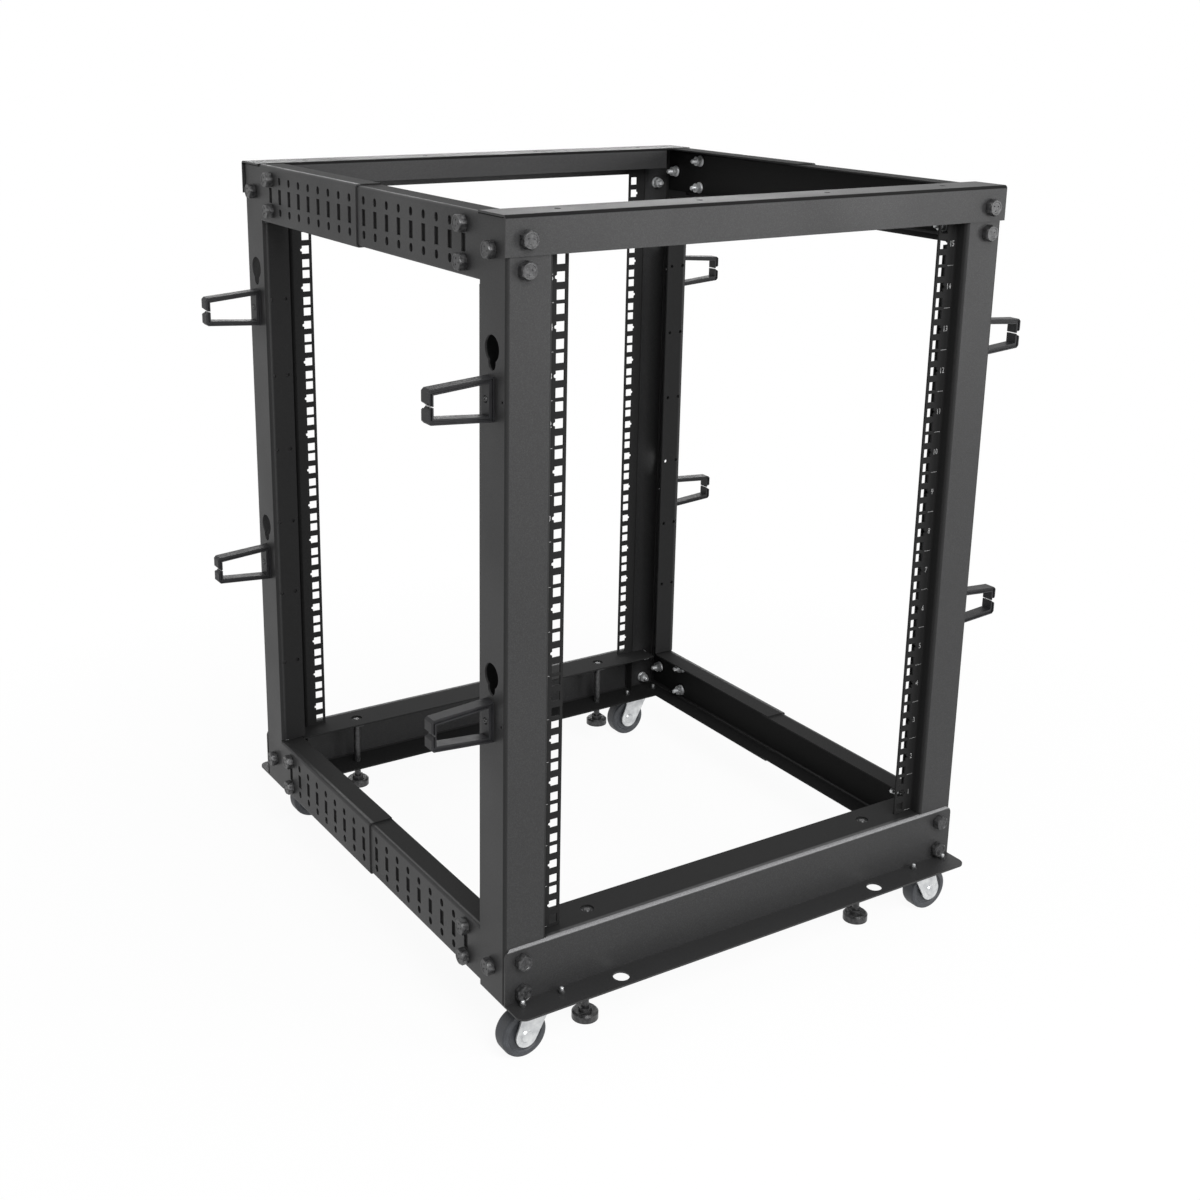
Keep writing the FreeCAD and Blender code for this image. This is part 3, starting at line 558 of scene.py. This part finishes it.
class Corner:
    """Where one corner's sheets lie; across and along are -1 or 1."""

    def __init__(self, name, across, along):
        low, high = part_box("post_" + name)
        self.name = name
        self.end, self.side = name.split("_")
        self.across = across
        self.along = along
        self.side_x = max(abs(low.x), abs(high.x))
        self.face_y = max(abs(low.y), abs(high.y))
        self.inner_y = min(abs(low.y), abs(high.y))
        self.post_top = high.z
        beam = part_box("top_beam_" + self.end)
        self.skin_y = max(abs(beam[0].y), abs(beam[1].y))
        self.top = beam[1].z
        self.sheet = self.skin_y - self.face_y
        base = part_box("base_beam_" + self.end)
        self.base = base[0].z
        self.shelf = base[1].z

    def at(self, x, y, z):
        return Vector((self.across * x, self.along * y, z))

    def beams(self):
        """The side beams at this corner: outer face, the bar's inner face and middle height."""
        for level in ("base", "top"):
            low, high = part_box("side_%s_%s" % (level, self.name))
            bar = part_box("side_%s_bar_%s" % (level, self.side))
            skin = max(abs(low.x), abs(high.x))
            yield skin, min(abs(bar[0].x), abs(bar[1].x)), (low.z + high.z) / 2

    def face_bolts(self):
        """Places on the post's and beams' outer faces, with the depth of the sheets behind."""
        size = sizes()
        x = self.side_x - size.bolt_inset
        return [
            (self.at(x, self.skin_y, self.top - size.beam_bolt_drop), self.sheet * 2),
            (self.at(x, self.face_y, self.top - size.post_bolt_drop), self.sheet),
            (self.at(x, self.skin_y, self.base + size.web_bolt_low), self.sheet * 2),
            (self.at(x, self.skin_y, self.base + size.web_bolt_high), self.sheet * 2),
        ]

    def side_bolts(self):
        """Places on the outer sides of post and side beams, each with its nut's place inside."""
        size = sizes()
        pairs = []
        for skin, inside, middle in self.beams():
            y = self.face_y - size.post_side_depth
            pairs.append((self.at(self.side_x, y, middle), self.at(inside, y, middle)))
            y = self.face_y - size.side_bolt_depth
            for way in (-1, 1):
                z = middle + way * size.side_bolt_rise
                pairs.append((self.at(skin, y, z), self.at(inside, y, z)))
        return pairs


def corners():
    return [Corner(name, *signs) for name, signs in CORNERS.items()]


# Operators


class RackCoatFrame(bpy.types.Operator):
    """Give the posts, beams and bars their black powder coat"""

    bl_idname = "rack.coat_frame"
    bl_label = "Coat the frame"

    def execute(self, context):
        give(("post_", "side_"), post_coat)
        give("base_beam_", base_coat)
        give("top_beam_", top_coat)
        give(("side_base_bar_", "side_top_bar_"), bar_coat)
        return {"FINISHED"}


class RackTopSeams(bpy.types.Operator):
    """Close the seams between the posts and the top beams with a dark filler, painted shade that keeps white
    light from showing through them
    """

    bl_idname = "rack.top_seams"
    bl_label = "Top seams"

    def execute(self, context):
        inset = sizes().seam_inset
        bm = bmesh.new()
        for corner in corners():
            inner_x = corner.side_x - corner.sheet + inset
            low = corner.at(inner_x, corner.inner_y + inset, corner.post_top - inset)
            high = corner.at(corner.side_x - inset, corner.face_y - inset, corner.top - corner.sheet)
            box = Matrix.Diagonal((*[abs(a - b) for a, b in zip(low, high)], 1))
            bmesh.ops.create_cube(bm, size=1.0, matrix=Matrix.Translation((low + high) / 2) @ box)
        finish_piece(bm, "top_seams", bar_coat)
        return {"FINISHED"}


class RackFinishRings(bpy.types.Operator):
    """Give the cable rings their plastic and set a screw in each"""

    bl_idname = "rack.finish_rings"
    bl_label = "Finish the cable rings"

    def execute(self, context):
        give("ring_", moulded_plastic)
        seat = sizes().ring_bar
        bm = bmesh.new()
        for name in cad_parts:
            if not name.startswith("ring_"):
                continue
            low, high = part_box(name)
            middle = (low + high) / 2
            way = 1 if middle.x > 0 else -1
            inner = min(abs(low.x), abs(high.x))
            add_ring_screw(bm, facing((way * (inner + seat), middle.y, middle.z), (way, 0, 0)))
        finish_piece(bm, "ring_screws", black_finish)
        return {"FINISHED"}


class RackFinishFeet(bpy.types.Operator):
    """Give the levelling feet their black finish, and run their rods up into nuts under the shelves"""

    bl_idname = "rack.finish_feet"
    bl_label = "Finish the feet"

    def execute(self, context):
        give("foot_", black_finish)
        size = sizes()
        flats = hexagon(size.foot_nut / 2)
        rod = size.foot_rod / 2
        neck = rod * 0.95
        root = rod * 0.94
        point = rod * 0.8
        crest = size.thread_pitch / 2
        bm = bmesh.new()
        for corner in corners():
            low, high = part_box("foot_" + corner.name)
            middle = (low + high) / 2
            under = corner.shelf - corner.sheet
            stack(bm, facing((middle.x, middle.y, under), (0, 0, -1)), [
                (0.0, rod), (0.0, flats), (size.foot_nut_height, flats), (size.foot_nut_height, rod)])
            reach = corner.shelf - size.foot_rod_sink - high.z
            rings = [(-crest, neck)]
            for turn in range(int(reach / size.thread_pitch)):
                start = turn * size.thread_pitch
                rings += [(start, root), (start + crest, rod)]
            rings += [(reach - crest, root), (reach, point)]
            stack(bm, facing((middle.x, middle.y, high.z), (0, 0, 1)), rings, count=20)
        finish_piece(bm, "foot_rods", black_finish)
        return {"FINISHED"}


class RackFinishCasters(bpy.types.Operator):
    """Plate the casters' pressings and colour their wheels"""

    bl_idname = "rack.finish_casters"
    bl_label = "Finish the casters"

    def execute(self, context):
        give(("caster_plate_", "caster_fork_"), bright_zinc)
        give("caster_wheel_", wheel_plastic)
        return {"FINISHED"}


class RackFaceBolts(bpy.types.Operator):
    """Set the black bolts on the faces of posts, top beams and base beams"""

    bl_idname = "rack.face_bolts"
    bl_label = "Face bolts"

    def execute(self, context):
        bm = bmesh.new()
        for corner in corners():
            for spot, _depth in corner.face_bolts():
                add_bolt_head(bm, facing(spot, (0, corner.along, 0)))
        finish_piece(bm, "face_bolts", black_finish)
        return {"FINISHED"}


class RackSideBolts(bpy.types.Operator):
    """Set the black bolts on the sides of side beams and posts"""

    bl_idname = "rack.side_bolts"
    bl_label = "Side bolts"

    def execute(self, context):
        bm = bmesh.new()
        for corner in corners():
            for spot, _inside in corner.side_bolts():
                add_bolt_head(bm, facing(spot, (corner.across, 0, 0)))
        finish_piece(bm, "side_bolts", black_finish)
        return {"FINISHED"}


class RackNuts(bpy.types.Operator):
    """Set the bright nuts and bolt tips inside the posts and side beams"""

    bl_idname = "rack.nuts"
    bl_label = "Inner nuts"

    def execute(self, context):
        bm = bmesh.new()
        for corner in corners():
            for spot, depth in corner.face_bolts():
                inside = spot - Vector((0, corner.along * depth, 0))
                add_nut(bm, facing(inside, (0, -corner.along, 0)))
            for _spot, inside in corner.side_bolts():
                add_nut(bm, facing(inside, (-corner.across, 0, 0)))
        finish_piece(bm, "inner_nuts", bright_zinc)
        return {"FINISHED"}


class RackCasterStuds(bpy.types.Operator):
    """Set the small nuts and screws that hold the casters"""

    bl_idname = "rack.caster_studs"
    bl_label = "Caster studs"

    def execute(self, context):
        nuts = bmesh.new()
        tips = bmesh.new()
        for name in CORNERS:
            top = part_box("post_" + name)[0].z
            for spot in self.spots(name):
                self.add_stud(nuts, tips, spot, top)
        finish_piece(nuts, "caster_nuts", black_finish)
        finish_piece(tips, "caster_studs", bright_zinc)
        return {"FINISHED"}

    def spots(self, name):
        """The four screws of one caster, at the underside of its plate."""
        size = sizes()
        low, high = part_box("caster_plate_" + name)
        middle = (low + high) / 2
        under = high.z - size.plate_sheet
        reach_x = size.stud_spread_x
        reach_y = size.stud_spread_y
        return [Vector((middle.x + across * reach_x, middle.y + along * reach_y, under))
                for across in (-1, 1) for along in (-1, 1)]

    def add_stud(self, nuts, tips, spot, top):
        """The nut and the screw's tip above the flange, and the screw's head below."""
        size = sizes()
        flats = hexagon(size.stud_nut / 2)
        flats_top = 0.0024
        nut_top = 0.0030
        nut_rim = size.stud_nut * 0.48
        screw = size.stud_radius
        bore = screw * 1.1
        above = facing((spot.x, spot.y, top), (0, 0, 1))
        stack(nuts, above, [
            (-SINK, flats), (flats_top, flats), (nut_top, nut_rim), (nut_top, bore)], count=18)
        tip_foot = 0.0020
        tip_side = 0.0052
        tip_end = 0.0058
        stack(tips, above, [(tip_foot, screw), (tip_side, screw), (tip_end, screw * 0.7)], count=14)
        head = screw * 2
        edge = 0.0008
        shoulder = 0.0018
        crown = 0.0021
        dent = 0.0012
        stack(tips, facing(spot, (0, 0, -1)), [
            (-SINK, head), (edge, head), (shoulder, screw * 1.5), (crown, screw * 0.9), (dent, screw * 0.6)],
            count=18)


class RackUnitNumbers(bpy.types.Operator):
    """Print the unit numbers and tick lines on the rails"""

    bl_idname = "rack.unit_numbers"
    bl_label = "Unit numbers"

    def execute(self, context):
        size = sizes()
        bm = bmesh.new()
        posts = corners()
        start = posts[0].shelf + size.first_unit
        for number in range(1, size.units + 1):
            digits = self.make_digits(str(number))
            for corner in posts:
                self.print_digits(bm, digits, corner, start + size.unit * (number - 0.5))
            bpy.data.meshes.remove(digits)
        for line in range(size.units + 1):
            for corner in posts:
                self.add_tick(bm, corner, start + size.unit * line)
        finish_piece(bm, "unit_numbers", print_ink)
        return {"FINISHED"}

    def make_digits(self, text):
        """A flat mesh of the text about its own middle."""
        size = sizes()
        curve = bpy.data.curves.new("number", "FONT")
        curve.body = text
        curve.size = size.number_height * FONT_OVER_DIGIT
        curve.align_x = "CENTER"
        curve.align_y = "CENTER"
        curve.extrude = size.print_film / 2
        curve.resolution_u = 2
        holder = bpy.data.objects.new("number", curve)
        digits = bpy.data.meshes.new_from_object(holder)
        bpy.data.objects.remove(holder)
        bpy.data.curves.remove(curve)
        digits.transform(Matrix.Diagonal((DIGIT_NARROWING, 1, 1, 1)))
        return digits

    def print_digits(self, bm, digits, corner, z):
        """Stand the flat digits up on a rail; on the back posts they face backwards."""
        size = sizes()
        spot = corner.at(size.number_place, corner.face_y - size.rail_recess, z)
        yaw = math.pi if corner.along > 0 else 0
        turn = Matrix.Rotation(yaw, 4, "Z") @ Matrix.Rotation(math.pi / 2, 4, "X")
        copy = digits.copy()
        copy.transform(Matrix.Translation(spot) @ turn)
        bm.from_mesh(copy)
        bpy.data.meshes.remove(copy)

    def add_tick(self, bm, corner, z):
        """A thin line from beside the holes to the rail's outer edge."""
        size = sizes()
        middle = (size.tick_inner + size.tick_outer) / 2
        spot = corner.at(middle, corner.face_y - size.rail_recess, z)
        box = Matrix.Diagonal((size.tick_outer - size.tick_inner, size.print_film, size.tick_width, 1))
        bmesh.ops.create_cube(bm, size=1.0, matrix=Matrix.Translation(spot) @ box)


class RackMakeStage(bpy.types.Operator):
    """Set the rack on a white floor under soft lamps and place the camera"""

    bl_idname = "rack.make_stage"
    bl_label = "Floor, lamps and camera"

    def execute(self, context):
        scene = context.scene
        scene.view_settings.view_transform = "Standard"
        self.add_floor(scene)
        self.add_world(scene)
        self.add_lamps(scene)
        self.add_camera(scene)
        return {"FINISHED"}

    def seen_rays(self, nodes, links):
        """1 for the rays that look at the stage, straight, mirrored or through something."""
        rays = nodes.new("ShaderNodeLightPath").outputs
        mirrored = join_values(nodes, links, "ADD", rays["Is Camera Ray"], rays["Is Glossy Ray"])
        through = join_values(nodes, links, "ADD", mirrored, rays["Is Transmission Ray"])
        return map_range(nodes, links, through, start=0.0, stop=1.0, low=0.0, high=1.0)

    def add_floor(self, scene):
        stage = scene.rack_stage
        bm = bmesh.new()
        bmesh.ops.create_grid(bm, x_segments=8, y_segments=8, size=FLOOR_REACH)
        mesh = bpy.data.meshes.new("floor")
        bm.to_mesh(mesh)
        bm.free()
        floor = bpy.data.objects.new("floor", mesh)
        scene.collection.objects.link(floor)
        floor.location = (0, 0, -FLOOR_DROP)
        material, nodes, links, shader = blank_material("white_floor")
        shader.inputs["Base Color"].default_value = (*stage.floor_white, 1.0)
        shader.inputs["Roughness"].default_value = 0.9
        shader.inputs["Specular IOR Level"].default_value = 0.1
        glow = nodes.new("ShaderNodeEmission")
        glow.inputs["Strength"].default_value = 1.0
        place = nodes.new("ShaderNodeTexCoord")
        reach = nodes.new("ShaderNodeVectorMath")
        reach.operation = "LENGTH"
        links.new(place.outputs["Object"], reach.inputs[0])
        white = map_range(nodes, links, reach.outputs["Value"], stage.near, stage.far, stage.near_white, 1.0)
        mix = nodes.new("ShaderNodeMixShader")
        seen = self.seen_rays(nodes, links)
        links.new(join_values(nodes, links, "MULTIPLY", seen, white), mix.inputs["Fac"])
        links.new(shader.outputs["BSDF"], mix.inputs[1])
        links.new(glow.outputs["Emission"], mix.inputs[2])
        links.new(mix.outputs["Shader"], nodes["Material Output"].inputs["Surface"])
        floor.data.materials.append(material)

    def add_world(self, scene):
        world = bpy.data.worlds.new("studio")
        world.use_nodes = True
        nodes = world.node_tree.nodes
        links = world.node_tree.links
        soft = nodes["Background"]
        soft.inputs["Color"].default_value = WHITE
        soft.inputs["Strength"].default_value = scene.rack_stage.ambient
        white = nodes.new("ShaderNodeBackground")
        white.inputs["Color"].default_value = WHITE
        mix = nodes.new("ShaderNodeMixShader")
        links.new(self.seen_rays(nodes, links), mix.inputs["Fac"])
        links.new(soft.outputs["Background"], mix.inputs[1])
        links.new(white.outputs["Background"], mix.inputs[2])
        links.new(mix.outputs["Shader"], nodes["World Output"].inputs["Surface"])
        scene.world = world

    def add_lamps(self, scene):
        stage = scene.rack_stage
        aim = Vector((0, 0, AIM_HEIGHT))
        for name, place, width, height, power in (
                ("front_softbox", (-0.5, -2.3, 2.0), 1.4, 1.4, stage.front_lamp),
                ("right_softbox", (1.9, -2.6, 0.9), 1.2, 1.2, stage.right_lamp),
                ("left_softbox", (-2.4, 1.5, 0.9), 1.2, 1.2, stage.left_lamp),
                ("top_softbox", (0.1, 0.2, 3.3), 2.4, 2.4, stage.top_lamp),
                ("back_softbox", (1.6, 3.9, 1.12), 3.4, 0.4, stage.back_lamp)):
            lamp = bpy.data.lights.new(name, "AREA")
            lamp.shape = "RECTANGLE"
            lamp.size = width
            lamp.size_y = height
            lamp.energy = power
            holder = bpy.data.objects.new(name, lamp)
            turn = (Vector(place) - aim).to_track_quat("Z", "Y").to_matrix().to_4x4()
            holder.matrix_world = Matrix.Translation(place) @ turn
            scene.collection.objects.link(holder)

    def add_camera(self, scene):
        stage = scene.rack_stage
        lens = bpy.data.cameras.new("camera")
        lens.lens = stage.camera_lens
        lens.sensor_width = 36.0
        lens.shift_x = stage.shift_across
        lens.shift_y = stage.shift_up
        lens.clip_start = 0.05
        lens.clip_end = 60.0
        camera = bpy.data.objects.new("camera", lens)
        turn = (Matrix.Rotation(-stage.camera_yaw, 4, "Z")
                @ Matrix.Rotation(math.pi / 2 - stage.camera_pitch, 4, "X")
                @ Matrix.Rotation(stage.camera_roll, 4, "Z"))
        camera.matrix_world = Matrix.Translation(stage.camera_place) @ turn
        scene.collection.objects.link(camera)
        scene.camera = camera


class RackPanel(bpy.types.Panel):
    """Lists the rack's pieces, sizes and colours"""

    bl_idname = "VIEW3D_PT_rack"
    bl_label = "Open frame rack"
    bl_space_type = "VIEW_3D"
    bl_region_type = "UI"
    bl_category = "Rack"

    def draw(self, context):
        for step in STEPS:
            self.layout.operator(step.bl_idname)
        for group in (context.scene.rack_sizes, context.scene.rack_colours, context.scene.rack_stage):
            box = self.layout.box()
            for name in group.__annotations__:
                box.prop(group, name)


STEPS = (
    RackCoatFrame, RackTopSeams, RackFinishRings, RackFinishFeet, RackFinishCasters, RackFaceBolts,
    RackSideBolts, RackNuts, RackCasterStuds, RackUnitNumbers, RackMakeStage,
)
GROUPS = (RackSizes, RackColours, RackStage)


def register():
    for entry in GROUPS + STEPS + (RackPanel,):
        bpy.utils.register_class(entry)
    bpy.types.Scene.rack_sizes = PointerProperty(type=RackSizes)
    bpy.types.Scene.rack_colours = PointerProperty(type=RackColours)
    bpy.types.Scene.rack_stage = PointerProperty(type=RackStage)


def unregister():
    del bpy.types.Scene.rack_stage
    del bpy.types.Scene.rack_colours
    del bpy.types.Scene.rack_sizes
    for entry in reversed(GROUPS + STEPS + (RackPanel,)):
        bpy.utils.unregister_class(entry)


def main():
    register()
    bpy.ops.rack.coat_frame()
    bpy.ops.rack.top_seams()
    bpy.ops.rack.finish_rings()
    bpy.ops.rack.finish_feet()
    bpy.ops.rack.finish_casters()
    bpy.ops.rack.face_bolts()
    bpy.ops.rack.side_bolts()
    bpy.ops.rack.nuts()
    bpy.ops.rack.caster_studs()
    bpy.ops.rack.unit_numbers()
    bpy.ops.rack.make_stage()


if __name__ == "__main__":
    main()
